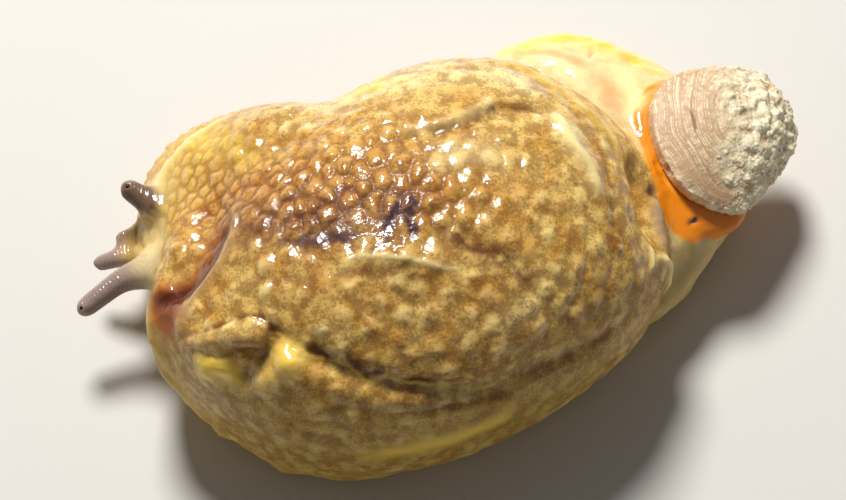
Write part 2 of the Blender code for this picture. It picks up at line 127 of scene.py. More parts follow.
# The places are moved to the nearest skin, so they need only be near it. Brown, red and orange along
# creases, grooves and folds, and the dark in hollows, are painted shade.
MARKS = dict(
    near_groove=mark(
        (-6.8, -6.3, 11.6), (-5.1, -7.4, 11.5), (-2.5, -8.3, 10.8), (0.3, -8.2, 10.1), (3, -7.8, 9.3),
        width=0.4, height=-0.2, brown=0.35),
    near_groove_end=mark(
        (3, -7.8, 9.3), (5.6, -6.5, 8.9), (7.4, -5.6, 8.5), (9.8, -3.6, 8.2), width=0.35, height=-0.06,
        brown=0.4),
    near_groove_lip=mark(
        (-6, -6.2, 11.9), (-4.5, -7.1, 11.8), (-2.3, -7.8, 11.3), (0.3, -7.7, 10.6), (3, -7.2, 9.9),
        width=0.5, height=0.12, brown=0.35),
    groove_blot_front=mark((-5.3, -7, 11.7), (-4.8, -7.2, 11.5), (-4.4, -7.4, 11.4), width=0.24, brown=1),
    groove_blot_middle=mark((-3.6, -7.6, 11.3), (-2.8, -7.8, 11.1), (-2, -7.9, 11), width=0.3, brown=1),
    groove_blot_back=mark((-1.1, -8, 10.8), (-0.4, -8, 10.6), (0.3, -8, 10.4), width=0.25, brown=0.9),
    near_thread=mark(
        (-6.8, -6.3, 11.6), (-5.8, -7, 11.7), (-5.1, -7.4, 11.5), (-4, -7.6, 11.3), (-3.2, -7.9, 11),
        (-2.5, -8.3, 10.8), (-1.8, -8.1, 10.8), (-1.2, -8.2, 10.6), (0.3, -8.2, 10.1), (1.8, -8.1, 9.7),
        (3, -7.8, 9.3), (4.1, -7.2, 9.2), width=0.08, height=0.02, yellow=0.7),
    thread_branch_front=mark(
        (-4, -7.6, 11.3), (-3.9, -7.3, 11.5), (-3.9, -7.1, 11.9), width=0.07, yellow=0.6),
    thread_branch_middle=mark(
        (-1.8, -8.1, 10.8), (-1.8, -7.8, 11.3), (-2, -7.5, 11.8), width=0.07, yellow=0.6),
    thread_branch_down=mark(
        (-2.5, -8.3, 10.8), (-2.9, -8.8, 10.5), (-3.1, -9, 10.3), width=0.07, yellow=0.5),
    finger_fold=mark(
        (-11.2, -5.8, 9.7), (-10.3, -6.1, 10.6), (-9.4, -6.2, 11.2), (-8.5, -6.3, 11.7), (-7.8, -6.2, 11.9),
        width=0.6, height=0.14, cream=0.1),
    finger_crease_above=mark(
        (-11.5, -5.4, 9.6), (-10.3, -5.5, 10.7), (-9.2, -5.5, 11.5), (-8.5, -5.4, 11.8), (-8, -5.4, 12),
        (-7.5, -5.6, 11.8), (-7.2, -5.9, 11.7), (-7.1, -6.1, 11.5), (-7.3, -6.5, 11.2), width=0.15,
        height=-0.1, brown=0.9),
    finger_crease_below=mark(
        (-11.4, -5.8, 8.8), (-10.8, -6.1, 9.8), (-10.1, -6.5, 10), (-9.5, -6.7, 10.3), (-8.6, -6.8, 10.9),
        (-7.9, -6.8, 11.1), (-7.4, -6.6, 11.1), width=0.16, height=-0.1, brown=0.6),
    brown_lobe=mark((-8.6, -6.9, 10.2), (-8, -6.9, 10.3), width=0.35, height=0.12, brown=0.25),
    shoulder_crease=mark(
        (-7.7, -4.9, 12.1), (-7.5, -5.3, 11.9), (-7.1, -5.8, 11.7), (-6.8, -6.3, 11.6), (-7, -6.7, 11.3),
        (-7.4, -7, 10.8), (-7.9, -7.1, 10.3), (-8.2, -7.2, 9.7), (-8.6, -7.4, 9.5), width=0.18, height=-0.1,
        brown=0.75),
    front_bump=mark(
        (-10.6, -6.8, 9.1), (-9.8, -7, 9.7), (-9.1, -7.2, 9.7), width=0.6, height=0.4, lemon=1, bare=1),
    front_bump_side=mark((-9.3, -7.2, 9.6), (-8.7, -7.4, 9.3), width=0.5, lemon=0.6),
    middle_bump=mark((-6.4, -7.1, 11.6), (-6.2, -7.7, 11.5), width=0.6, height=0.24, lemon=0.8, bare=1),
    middle_bump_tail=mark(
        (-6.5, -7.7, 11.1), (-7, -7.9, 10.6), (-7.6, -8, 10), width=0.5, height=0.12, yellow=0.25,
        bare=0.6),
    far_groove=mark(
        (-0.9, 3.2, 13.8), (-0.2, 3.5, 13.7), (1.9, 4.1, 13.6), (3.4, 5.4, 13.2), (4.7, 5.8, 12.7),
        (6.2, 5.7, 12.3), width=0.35, height=-0.16, brown=0.8),
    far_ridge=mark(
        (-0.9, 3.7, 13.7), (0, 4, 13.6), (1.9, 4.6, 13.4), (3.4, 5.9, 13), width=0.3, height=0.12,
        cream=0.3),
    cream_ridge=mark(
        (-3.7, -3.8, 13.7), (-3.2, -3.3, 13.8), (-2.2, -3.3, 14), (-1.3, -3.4, 14), (0, -3.6, 13.8),
        (1.7, -3.8, 13.4), width=0.16, height=0.07, cream=0.6),
    cream_ridge_shade=mark((-3, -4, 13.8), (-1.3, -4.1, 13.8), (0.2, -4.3, 13.6), width=0.35, brown=0.5),
    dark_band=mark(
        (1.2, -1.9, 13.9), (2.2, -2.5, 13.6), (3.1, -2.8, 13.3), (4.1, -3.1, 12.9), (5.3, -3.8, 12.2),
        width=0.5, height=-0.1, brown=0.9, plum=0.3),
    dark_ladder_front=mark(
        (-1.2, -0.1, 14.2), (-1.4, -1.2, 14.1), (-1.7, -2.4, 14), width=0.3, height=-0.06, rungs=0.24,
        plum=1.2, brown=0.3, bare=0.3),
    dark_ladder_back=mark(
        (-0.5, 0, 14.2), (-0.6, -1.2, 14.1), (-0.4, -2.2, 14), width=0.26, height=-0.06, rungs=0.24,
        plum=1.2, brown=0.3, bare=0.3),
    dark_blot_left=mark(
        (-6.2, -1.9, 13.4), (-5.3, -2.2, 13.5), (-4.4, -2.3, 13.7), (-3.3, -2.1, 13.9), width=0.5, plum=0.7,
        brown=0.4),
    bead_shade=mark(
        (-8.6, -0.6, 12), (-7, -0.8, 13), (-5.5, -0.9, 13.4), (-3.5, -0.8, 14), (-1, -1, 14.1), width=1.7,
        plum=0.4, brown=0.3),
    pale_streak_top=mark(
        (4, 8.2, 12), (4.7, 7.5, 12.2), (5.4, 6.9, 12.2), width=0.35, height=0.06, pale=0.9),
    pale_streak_low=mark(
        (6.5, 5.8, 12.2), (6.8, 4.8, 12.6), (7.2, 3.9, 12.6), (7.8, 3.2, 12.4), (8.2, 2.4, 12.1),
        (8.5, 1.6, 11.9), width=0.4, height=0.2, pale=1, cream=0.3, bare=0.8),
    hood_edge=mark(
        (2.9, 9.8, 10.8), (4.9, 9.3, 10.9), (6.7, 8.1, 11), (8.2, 6.8, 10.8), (9.5, 5.4, 10.5),
        (10.5, 3.7, 10.1), (11, 1.9, 9.8), (11.1, 0.3, 9.2), width=0.5, height=0.08, yellow=0.35, bare=0.6),
    rear_fold_back=mark(
        (10.3, 5.1, 9.8), (10.7, 2.6, 10.1), (10.9, 0.6, 9.5), (10.5, -1.5, 9.3), (9.8, -3, 9.1),
        width=0.25, height=-0.05, olive=0.4),
    rear_fold_middle=mark(
        (8.7, 4, 11.5), (9.2, 1.8, 11.4), (9.3, -0.3, 11), (9.1, -2.2, 10.5), (8.4, -3.8, 10), width=0.22,
        height=-0.06, brown=0.3),
    rear_fold_front=mark(
        (7.1, 2.7, 12.6), (7.7, 0.7, 12.2), (7.9, -1.2, 11.8), (7.7, -3.1, 11.1), (7, -4.6, 10.5),
        width=0.22, height=-0.05, brown=0.3),
    rear_lamella=mark(
        (11.8, -0.1, 7.9), (12.3, 0.1, 7), (12.4, 0, 6), (12.2, -0.3, 5.2), width=0.3, height=0.25, cream=1,
        bare=1),
    small_lamella=mark(
        (11.2, 0.2, 8.6), (11.3, -0.1, 8.5), (11.3, -0.6, 8.4), (11.1, -1.1, 8.4), width=0.18, height=0.15,
        cream=0.7, bare=1),
    flank_fold_upper=mark(
        (-4.3, -9.2, 10), (-2.5, -9.4, 9.8), (-0.1, -9.2, 9.4), (2.7, -8.4, 9), (5.1, -7.2, 8.7), width=0.3,
        height=-0.07, brown=0.3),
    flank_fold_lower=mark(
        (-7.7, -8.5, 9.2), (-5.8, -9.6, 8.4), (-3.5, -10.1, 7.7), (-1.1, -10.1, 6.8), width=0.3,
        height=-0.06, brown=0.2),
    # Painted shade: the head's crease is made dark red, and the band beside it warm orange and red.
    head_crease=mark(
        (-9.4, 0.4, 11.4), (-9.7, -0.7, 11.4), (-10, -1.6, 11.2), (-10.3, -2.3, 11), (-10.9, -2.8, 10.5),
        (-11.6, -3.1, 10.1), (-12.3, -3.2, 9.6), (-13, -3, 8.6), width=0.5, height=-0.3, red=0.9, bare=0.7),
    crease_warm_shade=mark(
        (-10.1, 0.4, 10.9), (-10.4, -0.8, 11), (-10.8, -1.7, 10.9), (-11.3, -2.4, 10.4), (-12.1, -2.8, 9.8),
        (-12.8, -2.8, 9), width=0.8, orange=0.75, red=0.35),
    hood_front=mark(
        (-8.9, 0.9, 11.6), (-9.1, 0, 11.8), (-9.3, -1, 11.8), (-9.6, -2.1, 11.8), (-10.1, -2.7, 11.4),
        (-10.7, -3.3, 10.9), (-11.3, -4.1, 10.4), (-11.7, -4.8, 9.6), width=0.4, height=0.1, grey=0.45,
        bare=0.2),
    amber_slope=mark(
        (-10.4, 2, 9.9), (-10.7, 0.5, 10.4), (-11, -0.9, 10.7), (-11.5, -1.9, 10.4), (-12.2, -2.5, 9.8),
        width=1.2, height=-0.8),
    far_shoulder=mark(
        (-12.6, 7.4, 6.9), (-10.9, 6.4, 8.5), (-9.6, 5.4, 9.8), (-8.4, 3.8, 10.9), width=0.9, yellow=0.4),
    head_ridge=mark(
        (-13.5, 4.7, 6.6), (-13.2, 5.8, 6.9), (-12.4, 6.7, 7.3), (-11.4, 7.5, 7.7), (-10.1, 8.1, 8.2),
        width=0.35, height=0.12, cream=0.6, bare=0.8),
    # Painted shade: the hollow under the front of the hood is made dark orange and brown.
    orange_lobe=mark(
        (-13.1, -3, 8.3), (-12.4, -3.3, 9.1), (-11.9, -3.5, 9.7), (-12.3, -4.2, 9), (-12.8, -3.8, 8.4),
        width=0.75, height=-0.15, orange=1.5, red=0.4, bare=1, brown=0.5),
    yellow_patch=mark(
        (-2.6, -10.2, 6.8), (-1.1, -10.1, 7), (0.3, -9.8, 7.1), (1.8, -9.4, 7.1), (3.2, -8.8, 7.2),
        (4.1, -8.3, 7.5), width=0.55, height=0.05, yellow=0.7, bare=0.8),
    notch_lobe=mark((-3.9, 7.8, 10.8), (-2.9, 7.6, 11.4), (-2, 7.6, 11.8), width=0.6, yellow=0.8),
    tail_edge=mark(
        (5, 13.6, 6), (6, 13.9, 6), (7.9, 14.2, 5.9), (9.3, 13.6, 6), (10.9, 13, 5.9), (12.8, 12.3, 5.5),
        width=0.8, height=0.12, lumps=0.35, yellow=1, bare=1),
    tail_flush_front=mark(
        (5, 13, 7), (6.4, 13, 7), (7.7, 12.4, 7.2), (8.7, 11.7, 7.3), width=0.3, peach=0.6),
    tail_flush_side=mark((9.3, 11.2, 7.3), (9.7, 10, 7.5), (9.8, 9, 7.6), width=0.5, peach=0.7),
    tail_fold=mark(
        (8.6, 13.9, 6.2), (8.9, 13.2, 6.8), (8.7, 12.6, 7.1), width=0.16, height=-0.12, peach=0.6),
    # Painted highlight: a cream patch on the tail by the mantle.
    tail_shine=mark(
        (10.2, 12.2, 6.9), (10.6, 11.2, 7), (10.9, 10.2, 7.1), (11, 9.2, 7.3), width=0.55, cream=1),
    tail_ridge=mark(
        (5.4, 12.7, 7.2), (6.9, 12.2, 7.4), (8.1, 11.2, 7.6), width=0.25, height=0.1, cream=0.9),
    tail_shoulder=mark((3, 12, 7), (4.4, 13.4, 6), width=1.2, height=0.6),
    mantle_rim=mark(
        (12.9, 10.6, 8), (11.7, 9.7, 7.7), (11.2, 8.7, 7.4), (11.3, 7.6, 7.3), (11.7, 6.3, 7.6),
        (12.1, 5.4, 7.4), (12.4, 4.7, 7.2), width=0.42, height=0.25, bare=1, saffron=0.9),
    mantle_side=mark(
        (12.4, 4.3, 6.8), (12.6, 3.6, 6.4), (13.4, 3, 5.8), (14.4, 3.3, 5.4), width=0.8, saffron=1.2,
        bare=1),
    membrane=mark(
        (11.7, 3.2, 7.6), (11.8, 2.5, 7.5), (12, 1.8, 7.4), (12.1, 1.1, 7.3), width=0.5, height=0.1, grey=1,
        bare=1),
    # Painted shade: the hollow is made dark red and plum.
    membrane_hollow=mark(
        (11.4, 3.8, 7.7), (11.7, 4.2, 7.6), width=0.35, height=-0.15, red=1, plum=0.5, bare=1),
    # Painted shade: the far feeler is made darker than the near one.
    far_feeler=mark((-13.7, 3.8, 6.5), (-14.3, 4.2, 7), (-15.3, 4.9, 6.9), width=0.75, smoke=1.5),
    lower_feeler_far=mark((-14.9, 3.5, 4.2), (-15.6, 3.5, 4), width=0.6, red=0.8, bare=1),
    feeler_bulge=mark((-13.2, 0.4, 6), (-13.9, 0.6, 5.8), width=0.9, height=0.1, cream=0.5, bare=1),
    # Painted shade: the pore's opening is made dark plum.
    breathing_pore=mark((13.5, 3.2, 5.8), (14, 3.5, 5.7), width=0.13, height=-0.12, plum=2),
)

# Wide areas, laid on as marks are: the zone of tall beads, paler and browner skin, painted light over the
# far side of the back, and the olive flanks, with painted shade on the low rear flank.
AREAS = dict(
    beads=mark(
        (-12.6, 4.6, 7.6), (-11, 3.6, 9), (-8.5, 1.6, 11.5), (-5, 0.2, 13.5), (-1.5, 0.2, 14),
        (1.8, 0.9, 14), width=3, beads=1),
    # Painted light: the far side of the back is made paler.
    far_back=mark((-6, 6.5, 9.5), (-2, 7, 12.3), (2, 8, 12.2), (5.5, 7.5, 12), width=1.6, pale=0.45),
    pale_cloud_back=mark((0.8, 1.6, 14.1), (2, 2.4, 13.9), (3.7, 2.4, 13.7), width=0.9, pale=0.6, bare=0.4),
    pale_cloud_side=mark((4, -5.4, 11.6), (5.4, -4.2, 11.7), width=0.9, pale=0.35),
    brown_cloud_front=mark(
        (-8.6, -3.2, 12.3), (-6.6, -4.2, 12.9), (-4.4, -5.6, 12.9), width=1.3, brown=0.25),
    brown_cloud_middle=mark((-2.4, -5.4, 13.2), (0.4, -5, 13.2), (3.4, -4.6, 12.5), width=1, brown=0.35),
    brown_cloud_rear=mark((8.6, 2, 11.8), (9.4, -1, 10.9), (8.6, -3.4, 10.3), width=1, brown=0.35),
    lower_flank=mark(
        (-10.5, -7.5, 7), (-7, -9.2, 6.5), (-3, -10, 6.3), (1.5, -9.4, 6.3), (6, -7.5, 6.3), (10, -4.6, 6),
        width=3, olive=0.8),
    fringe=mark(
        (-13.4, -3.4, 7.2), (-13.1, -4.4, 6.7), (-12.6, -5.2, 5.6), (-12, -5.8, 4.8), (-11, -7.2, 2.2),
        (-8, -9, 1.8), (-4, -10, 2.5), width=1, height=0.2, lumps=0.3, yellow=0.35, bare=0.7, olive=0.5),
    rear_hollow=mark((11.2, 4.4, 9.4), (11.7, 2.9, 9.3), (11.9, 1.2, 9), width=1.4, height=-1.3),
    near_hollow=mark(
        (-1, -9.2, 1.5), (3, -7.9, 1.5), (6.5, -6.4, 2), (9.5, -4.4, 3), width=2.2, height=-0.42),
    face=mark((-13.6, 1.4, 6), (-13.8, 3.4, 6.4), (-13.5, 5.3, 6.8), width=1.3, bare=0.9, pale=0.45),
    # Painted shade: the low rear flank is made olive and darker.
    rear_flank=mark((13.4, 3, 4.6), (12.9, 1, 4.4), (12, -1, 4.2), width=1.4, olive=1.2),
)

MASKS = (
    "beads", "bare", "brown", "plum", "cream", "pale", "yellow", "lemon", "orange", "red", "olive", "grey",
    "peach", "saffron", "smoke", "wet",
)

MASK_LIMIT = 1.5
RUNG_HEIGHT = 0.045

# Tubercles: their spacing and height as beads, on the rest of the back, and on the head. Each grows
# round a seed, which is one of every few vertices, and their outlines wobble by this much.
BEAD_SPACING = 0.74
LUMP_SPACING = 1.05
HEAD_SPACING = 0.58
SPACING_SPREAD = 0.3
LUMP_STRETCH = (1.1, 0.85, 0.95)
BEAD_HEIGHT = 0.2
LUMP_HEIGHT = 0.11
HEAD_HEIGHT = 0.12
CELL_WOBBLE = 0.18
SEED_STEP = 3
SEED = 7

# Beads fade onto the head, and their zone has this much steeper an edge.
HEAD_BEADS = 0.6
BEAD_GAIN = 1.2

# Tubercles lie low on the flanks, rise above this height over this length, and are faint on the tail.
LOW_LUMPS = 0.3
LUMPS_RISE = (8, 3)
TAIL_LUMPS = 0.1

# Softer relief: wide swells, wrinkles, and the waves of the skirt round the sole.
SWELL_HEIGHT = 0.12
SWELL_SIZE = 3.5
WRINKLE_HEIGHT = 0.05
WRINKLE_SIZE = 0.7
WRINKLE_STRETCH = (0.4, 1, 1.2)
SKIRT_HEIGHT = 0.25
SKIRT_SIZE = 1.6
SKIRT_MIDDLE = 0.7
SKIRT_WIDTH = 0.8

# A last light relaxing takes the sharpest points off the relief.
LAST_WEIGHT = 0.4

# Skin is wet where its normal rises by more than this, and fully so this much beyond it.
WET_RISE = (0.35, 0.4)

# The head's own colour ends about here along the body, and fades over this length.
HEAD_END = -10.4
HEAD_FADE = 2.0

# Spacing of the feelers' rings, and the width and depth of the skin's pores in metres.
FEELER_RING = 0.17
PORE = 0.2 * MM
PORE_DEPTH = 0.06 * MM

# The shell's middle, its turn about X, Y and Z, and the peak that its growth lines run round.
SHELL_PLACE = (15.4, 7.8, 6.4)
SHELL_TURN = (12, 20, 20)
SHELL_PEAK = (1.6, 0.5)

# A smooth band along the shell's near margin, the crusted rim below it, and a short dark scar.
SHELL_MARKS = (
    mark((12.6, 5.9, 7.6), (13.5, 5, 7.4), (14.7, 4.5, 6.9), (15.9, 4.1, 6.3), width=0.42),
    mark((11.8, 6, 7.5), (12.6, 4.9, 7.3), (13.5, 4.3, 6.9), (14.9, 3.8, 6), (16.3, 3.9, 5.6), width=0.3),
    mark((13.55, 8.3, 8.3), (13.7, 7.8, 8.3), (13.75, 7.3, 8.2), width=0.08),
)
SCAR_DEPTH = 0.05

# How far the shell's left margin is drawn in, which bares the mantle's rim, and over what length.
SHELL_TUCK = 0.35
SHELL_TUCK_REACH = 4

# Rounds of relaxing the shell, and how far its growth lines waver, widely and finely.
SHELL_ROUNDS = 3
GROWTH_WAVER = 0.25
GROWTH_JITTER = 0.04

# The crust starts on a slant across the shell, along an uneven edge, and fades in over a length.
CRUST_SLANT = 0.4
CRUST_RISE = (-2, 2.6)
CRUST_EDGE = (1.4, 0.6)
CRUST_DEPTH = 0.07

# Chips and pits of the crust, from its inner to its outer part, which fades in over a length.
CHIP_HEIGHTS = (0.14, 0.34)
PIT_HEIGHTS = (0.04, 0.1)
OUTER_FADE = 2.5

# Grains of the crust, in two sizes. They sink out of sight at its edge.
GRAIN_HEIGHT = 0.08
GRAIN_SHARE = 0.6
GRAIN_FALL = 1.3
GRAIN_SINK = 0.1
BIG_GRAIN = 2.6

EYE_RADIUS = 0.16

# What the camera looks at, and the light's way from there. The other lengths are in metres.
TARGET = (0.0, 0.96, 7.0)
KEY_TOWARDS = (-0.16, 0.54, 0.82)
KEY_DISTANCE = 0.3
KEY_SIZE = 0.09
FLOOR_SIZE = 0.6
SKY_COLOUR = (0.97, 0.97, 1.0, 1.0)


def linear(hex_code):
    """An sRGB hex colour as linear red, green and blue."""
    values = [int(hex_code[k : k + 2], 16) / 255 for k in (1, 3, 5)]
    return tuple(v / 12.92 if v <= 0.04045 else ((v + 0.055) / 1.055) ** 2.4 for v in values)


def colour_setting(name, description, hex_code):
    return FloatVectorProperty(
        name=name, description=description, default=linear(hex_code), subtype="COLOR", min=0.0, max=1.0
    )


def length_setting(name, description, millimetres):
    return FloatProperty(
        name=name, description=description, default=millimetres * MM, unit="LENGTH", min=0.0, precision=5
    )


class SlugSkinSettings(bpy.types.PropertyGroup):
    """Sizes and colours of the skin."""

    grain: length_setting("Grain", "Size of the skin's base mesh before it is divided", 0.2)
    freckle: length_setting("Freckle", "Width of one freckle", 0.13)
    smudge: length_setting("Smudge", "Width of one soft brown smudge", 0.7)
    blotch: length_setting("Blotch", "Width of one cloud of freckles", 1.3)
    film: FloatProperty(
        name="Mucus film", description="Strength of the wet film", default=1.0, min=0.0, max=1.0
    )
    tan: colour_setting("Tan", "Ground colour of the back", "#CC9A42")
    straw: colour_setting("Straw", "Paler clouds in the ground colour", "#E0BC68")
    bark: colour_setting("Bark", "Freckles and shaded folds", "#6A3A12")
    rust: colour_setting("Rust", "Soft smudges of the back", "#9A6424")
    # Plum is also painted shade in the hollows, the pore and the bead zone's shaded part.
    plum: colour_setting("Plum", "Darkest patches of the back", "#4A3038")
    # Cream is also a painted highlight on the tail, and painted light on the far side of the back.
    cream: colour_setting("Cream", "Threads and ridges", "#F6E3A0")
    butter: colour_setting("Butter", "Head, and the pale streak", "#D2A84A")
    lemon: colour_setting("Lemon", "Bright yellow bumps and edges", "#F0CC52")
    # Olive is also painted shade on the low rear flank.
    olive: colour_setting("Olive", "Lower flanks", "#9C8436")
    # This tone is the beads' own and the head's cell outlines, and also painted shade round the head's
    # crease and under the hood.
    amber_and_crease_shade: colour_setting("Amber", "Flesh in the creases", "#AC5808")
    orange: colour_setting("Orange", "Mantle", "#F08A0A")
    # Russet is painted shade in the creases and hollows, and it also colours the far lower feeler.
    russet: colour_setting("Russet", "Depth of the creases", "#562004")
    peach: colour_setting("Peach", "Flushed patches of the tail", "#D9A066")
    ivory: colour_setting("Ivory", "Tail", "#EAD29A")
    # Painted shade on the far feeler.
    smoke: colour_setting("Far feeler shade", "Far feeler", "#6B5340")
    mist: colour_setting("Mist", "Thin membranes and the edge of the hood", "#B0906C")
    fawn: colour_setting("Fawn", "Feelers", "#957F74")


class SlugShellSettings(bpy.types.PropertyGroup):
    """Sizes and colours of the shell."""

    grain: length_setting("Grain", "Size of the shell's mesh", 0.055)
    line: length_setting("Growth line", "Spacing of the fine growth lines", 0.13)
    crust: length_setting("Crust", "Width of one grain of the crust", 0.17)
    horn: colour_setting("Horn", "Skin of the shell", "#BA966E")
    cream: colour_setting("Cream", "Worn growth lines", "#F4E0BE")
    bark: colour_setting("Bark", "Furrows between growth lines", "#7A5540")
    sand: colour_setting("Sand", "Dusty ground of the crust", "#E6DAB4")
    chalk: colour_setting("Chalk", "Chalky grains of the crust", "#FFF8E6")
    umber: colour_setting("Umber", "Gaps in the crust", "#5A4A38")


class SlugStageSettings(bpy.types.PropertyGroup):
    """Camera, floor and light."""

    elevation: FloatProperty(
        name="Elevation",
        description="Camera's height above the horizon",
        default=math.radians(60),
        subtype="ANGLE",
    )
    frame_width: length_setting("Frame width", "Width that the picture takes in at its target", 42.3)
    key_power: FloatProperty(
        name="Key light", description="Power of the key light", default=1.4, unit="POWER"
    )
    sky: FloatProperty(name="Sky", description="Strength of the light from all round", default=0.16, min=0.0)
    floor: colour_setting("Floor", "Colour of the floor", "#CCC8C0")


class SlugSettings(bpy.types.PropertyGroup):
    """All settings of the slug."""

    skin: PointerProperty(type=SlugSkinSettings)
    shell: PointerProperty(type=SlugShellSettings)
    stage: PointerProperty(type=SlugStageSettings)


def read(items, key, width):
    """A row for each item, of the numbers that it keeps under this key."""
    values = np.empty(width * len(items), np.float32)
    items.foreach_get(key, values)
    return values.reshape(-1, width).astype(float)


def read_points(mesh):
    return read(mesh.vertices, "co", 3)


def write_points(mesh, points):
    mesh.vertices.foreach_set("co", points.astype(np.float32).ravel())
    mesh.update()


def read_normals(mesh):
    return read(mesh.vertex_normals, "vector", 3)


def store(mesh, name, values):
    """Keeps one number for each vertex under a name that a material can read."""
    attribute = mesh.attributes.get(name) or mesh.attributes.new(name, "FLOAT", "POINT")
    attribute.data.foreach_set("value", np.asarray(values, np.float32))


def recall(mesh, name):
    return read(mesh.attributes[name].data, "value", 1)[:, 0]


def noise_at(points, size, offset=0.0):
    """Smooth noise from about -1 to 1, with features of this size. Its offset sets it apart from others."""
    places = (np.asarray(points) / size + offset).tolist()
    return np.array([noise.noise(place) for place in places])


def ramp(values, start, length):
    """0 up to the start, 1 from this length beyond it, and straight between them."""
    return np.clip((values - start) / length, 0, 1)


def drift(points, size, offsets):
    """Smooth noise along each axis."""
    return np.stack([noise_at(points, size, offset) for offset in offsets], -1)


def mix(low, high, share):
    """A value this share of the way from one to another."""
    return low + (high - low) * share


def pebbles(points, size, offset):
    """1 in the middle of each of many small grains and 0 in the gaps between them."""
    places = (points / size + offset).tolist()
    return np.clip([1 - noise.voronoi(place)[0][0] * GRAIN_FALL for place in places], 0, 1)


def smooth_line(places, steps=6):
    """Points on a smooth curve through a few places."""
    places = np.asarray(places, float)
    if len(places) < 2:
        return places
    padded = np.concatenate([[2 * places[0] - places[1]], places, [2 * places[-1] - places[-2]]])
    out = []
    for before, start, end, after in zip(padded, padded[1:], padded[2:], padded[3:]):
        for part in np.arange(steps) / steps:
            bend = 2 * before - 5 * start + 4 * end - after
            twist = 3 * start - before - 3 * end + after
            out.append((2 * start + (end - before) * part + bend * part**2 + twist * part**3) / 2)
    return np.array(out + [places[-1]])


def laid(item, points):
    """How strongly a mark works on each point."""
    return mark_strength(points, smooth_line(item["places"]), item["width"])[0]


def growth(points):
    """How far the skin is grown at each point, which is further at the valleys."""
    total = np.full(len(points), GROW)
    for item in VALLEYS.values():
        total += item["height"] * laid(item, points)
    return total


def node_mesh(name, grow=None):
    """A node's mesh in millimetres, with its vertices joined, swollen by a function of its points."""
    mesh = bmesh.new()
    mesh.from_mesh(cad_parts[name].data)
    bmesh.ops.scale(mesh, vec=(1 / MM,) * 3, verts=mesh.verts)
    bmesh.ops.remove_doubles(mesh, verts=mesh.verts, dist=WELD)
    mesh.normal_update()
    if grow:
        amounts = grow(np.array([vertex.co for vertex in mesh.verts]))
        moves = [vertex.normal * by for vertex, by in zip(mesh.verts, amounts)]
        for vertex, move in zip(mesh.verts, moves):
            vertex.co += move
    return mesh


def new_object(name, data):
    thing = bpy.data.objects.new(name, data)
    bpy.context.scene.collection.objects.link(thing)
    return thing


def built(name, work):
    """An object of a mesh in the making, which is freed."""
    mesh = bpy.data.meshes.new(name)
    work.to_mesh(mesh)
    work.free()
    return new_object(name, mesh)


def evaluated(thing):
    """The object's mesh with its modifiers, which are then removed."""
    bpy.context.view_layer.update()
    graph = bpy.context.evaluated_depsgraph_get()
    mesh = bpy.data.meshes.new_from_object(thing.evaluated_get(graph))
    thing.modifiers.clear()
    return mesh


def keep_largest(mesh):
    """Drops every closed surface but the one with the most vertices."""
    work = bmesh.new()
    work.from_mesh(mesh)
    left = set(work.verts)
    groups = []
    while left:
        group = set()
        waiting = [left.pop()]
        while waiting:
            vertex = waiting.pop()
            group.add(vertex)
            for edge in vertex.link_edges:
                other = edge.other_vert(vertex)
                if other in left:
                    left.remove(other)
                    waiting.append(other)
        groups.append(group)
    groups.sort(key=len)
    for group in groups[:-1]:
        bmesh.ops.delete(work, geom=list(group), context="VERTS")
    work.to_mesh(mesh)
    work.free()


def grown_over(name, nodes, grow, grain):
    """One closed mesh over several nodes, each swollen by its own function so that they run together."""
    work = bmesh.new()
    for node in nodes:
        piece = node_mesh(node, grow(node))
        scrap = bpy.data.meshes.new("scrap")
        piece.to_mesh(scrap)
        piece.free()
        work.from_mesh(scrap)
        bpy.data.meshes.remove(scrap)
    thing = built(name, work)
    voxels = thing.modifiers.new("voxels", "REMESH")
    voxels.mode = "VOXEL"
    voxels.voxel_size = grain
    thing.data = evaluated(thing)
    keep_largest(thing.data)
    return thing


def relax(mesh, rounds, weight=0.5):
    """Draws each vertex towards the middle of its neighbours, a few times over."""
    ends = np.empty(2 * len(mesh.edges), np.int32)
    mesh.edges.foreach_get("vertices", ends)
    first, second = ends.reshape(-1, 2).T
    here = np.concatenate([first, second])
    there = np.concatenate([second, first])
    count = len(mesh.vertices)
    neighbours = np.bincount(here, minlength=count)[:, None]
    points = read_points(mesh)
    weight = np.broadcast_to(weight, count)[:, None]
    for _ in range(rounds):
        middle = np.stack([np.bincount(here, points[there, k], count) for k in range(3)], -1) / neighbours
        points += weight * (middle - points)
    write_points(mesh, points)


def divide(thing):
    """Divides every face of an object smoothly, once."""
    modifier = thing.modifiers.new("divide", "SUBSURF")
    modifier.levels = 1
    modifier.render_levels = 1
    thing.data = evaluated(thing)


def node_distances(points, nodes):
    """How far each point is from the nearest of these nodes."""
    best = np.full(len(points), np.inf)
    places = points.tolist()
    for node in nodes:
        mesh = node_mesh(node)
        tree = BVHTree.FromBMesh(mesh)
        mesh.free()
        apart = np.array([tree.find_nearest(place)[3] for place in places])
        best = np.minimum(best, apart)
    return best


def store_regions(mesh):
    """Keeps how much of each region every vertex belongs to, and how far it is from the head."""
    points = read_points(mesh)
    apart = {region: node_distances(points, nodes) for region, nodes in REGIONS.items()}
    nearest = np.min(list(apart.values()), axis=0)
    shares = {region: np.exp((nearest - far) / REGION_FADE) for region, far in apart.items()}
    total = sum(shares.values())
    for region, share in shares.items():
        store(mesh, region, share / total)
    store(mesh, "from_head", apart["head"])


